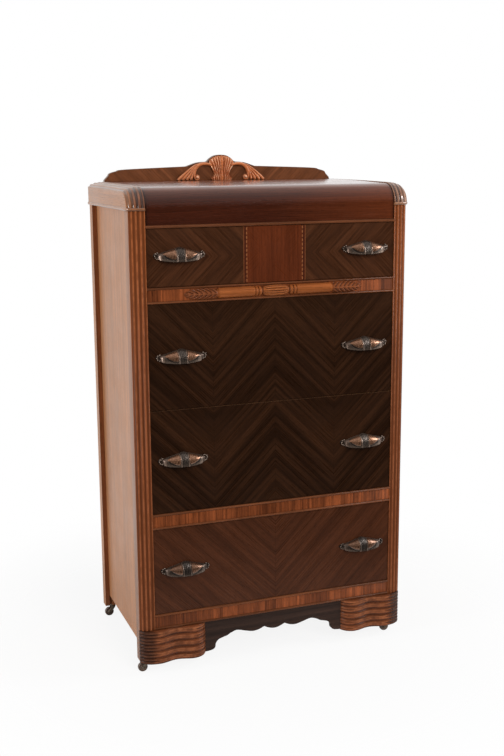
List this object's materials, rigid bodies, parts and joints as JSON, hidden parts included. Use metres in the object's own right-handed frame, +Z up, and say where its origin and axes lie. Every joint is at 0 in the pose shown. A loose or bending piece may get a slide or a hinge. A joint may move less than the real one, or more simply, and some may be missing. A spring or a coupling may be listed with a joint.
{
  "type": "waterfall dresser",
  "caption": "Tall waterfall chest of drawers with fluted corners, veneered drawers, hooded pulls, a carved crest on a gallery board, reeded feet and swivel casters.",
  "frame": {"origin": "middle of the bounding box's footprint, on the floor under the casters", "axes": "+Z up, the drawers open towards -Y, +X to the viewer's right when facing the drawers"},
  "size_m": [0.78, 0.4694, 1.3625],
  "materials": {
    "post_wood": "satin varnished walnut",
    "side_wood": "varnished walnut veneer",
    "back_board": "raw plywood",
    "top_wood": "glossy red walnut veneer",
    "cap_wood": "satin varnished walnut",
    "veneer": "dark walnut chevron veneer",
    "carved_wood": "varnished carving",
    "foot_wood": "varnished carving",
    "band_wood": "varnished crossbanding",
    "dark_wood": "dark stain",
    "box_wood": "bare secondary wood",
    "pull_metal": "aged brass and copper",
    "caster_metal": "dull steel",
    "wheel_wood": "dark worn wood"
  },
  "bodies": {
    "carcass": {"front_post_left": "post_wood", "front_post_right": "post_wood", "rear_post_left": "post_wood", "rear_post_right": "post_wood", "side_panel_left": "side_wood", "side_panel_right": "side_wood", "back_panel": "back_board", "waterfall_top": "top_wood", "top_cap_left": "cap_wood", "top_cap_right": "cap_wood", "gallery_board": "veneer", "crest_carving": "carved_wood", "top_rail": "band_wood", "upper_rail": "band_wood", "lower_rail": "band_wood", "bottom_rail": "band_wood", "rail_turning": "carved_wood", "apron": "dark_wood", "foot_left": "foot_wood", "foot_right": "foot_wood", "dust_frame_1": "box_wood", "dust_frame_2": "box_wood", "dust_frame_3": "box_wood", "dust_frame_4": "box_wood"},
    "drawer_1": {"drawer_1_front": "veneer", "drawer_1_side_left": "box_wood", "drawer_1_side_right": "box_wood", "drawer_1_back": "box_wood", "drawer_1_bottom": "box_wood", "drawer_1_pull_left": "pull_metal", "drawer_1_pull_right": "pull_metal"},
    "drawer_2": {"drawer_2_front": "veneer", "drawer_2_side_left": "box_wood", "drawer_2_side_right": "box_wood", "drawer_2_back": "box_wood", "drawer_2_bottom": "box_wood", "drawer_2_pull_left": "pull_metal", "drawer_2_pull_right": "pull_metal"},
    "drawer_3": {"drawer_3_front": "veneer", "drawer_3_side_left": "box_wood", "drawer_3_side_right": "box_wood", "drawer_3_back": "box_wood", "drawer_3_bottom": "box_wood", "drawer_3_pull_left": "pull_metal", "drawer_3_pull_right": "pull_metal"},
    "drawer_4": {"drawer_4_front": "veneer", "drawer_4_side_left": "box_wood", "drawer_4_side_right": "box_wood", "drawer_4_back": "box_wood", "drawer_4_bottom": "box_wood", "drawer_4_pull_left": "pull_metal", "drawer_4_pull_right": "pull_metal"},
    "caster_front_left": {"caster_front_left_fork": "caster_metal"},
    "wheel_front_left": {"caster_front_left_wheel": "wheel_wood"},
    "caster_front_right": {"caster_front_right_fork": "caster_metal"},
    "wheel_front_right": {"caster_front_right_wheel": "wheel_wood"},
    "caster_rear_left": {"caster_rear_left_fork": "caster_metal"},
    "wheel_rear_left": {"caster_rear_left_wheel": "wheel_wood"},
    "caster_rear_right": {"caster_rear_right_fork": "caster_metal"},
    "wheel_rear_right": {"caster_rear_right_wheel": "wheel_wood"}
  },
  "joints": [
    {"name": "drawer_1_slide", "type": "slide", "parent": "carcass", "child": "drawer_1", "axis": [0, -1, 0], "range_m": [0, 0.3]},
    {"name": "drawer_2_slide", "type": "slide", "parent": "carcass", "child": "drawer_2", "axis": [0, -1, 0], "range_m": [0, 0.3]},
    {"name": "drawer_3_slide", "type": "slide", "parent": "carcass", "child": "drawer_3", "axis": [0, -1, 0], "range_m": [0, 0.3]},
    {"name": "drawer_4_slide", "type": "slide", "parent": "carcass", "child": "drawer_4", "axis": [0, -1, 0], "range_m": [0, 0.3]},
    {"name": "caster_front_left_swivel", "type": "hinge", "parent": "carcass", "child": "caster_front_left", "pos_m": [-0.362, -0.17735, 0], "axis": [0, 0, 1], "continuous": true},
    {"name": "wheel_front_left_roll", "type": "hinge", "parent": "caster_front_left", "child": "wheel_front_left", "pos_m": [-0.373, -0.17735, 0.013], "axis": [0, 1, 0], "continuous": true},
    {"name": "caster_front_right_swivel", "type": "hinge", "parent": "carcass", "child": "caster_front_right", "pos_m": [0.362, -0.17735, 0], "axis": [0, 0, 1], "continuous": true},
    {"name": "wheel_front_right_roll", "type": "hinge", "parent": "caster_front_right", "child": "wheel_front_right", "pos_m": [0.351, -0.17735, 0.013], "axis": [0, 1, 0], "continuous": true},
    {"name": "caster_rear_left_swivel", "type": "hinge", "parent": "carcass", "child": "caster_rear_left", "pos_m": [-0.36, 0.21865, 0], "axis": [0, 0, 1], "continuous": true},
    {"name": "wheel_rear_left_roll", "type": "hinge", "parent": "caster_rear_left", "child": "wheel_rear_left", "pos_m": [-0.371, 0.21865, 0.013], "axis": [0, 1, 0], "continuous": true},
    {"name": "caster_rear_right_swivel", "type": "hinge", "parent": "carcass", "child": "caster_rear_right", "pos_m": [0.36, 0.21865, 0], "axis": [0, 0, 1], "continuous": true},
    {"name": "wheel_rear_right_roll", "type": "hinge", "parent": "caster_rear_right", "child": "wheel_rear_right", "pos_m": [0.349, 0.21865, 0.013], "axis": [0, 1, 0], "continuous": true}
  ]
}
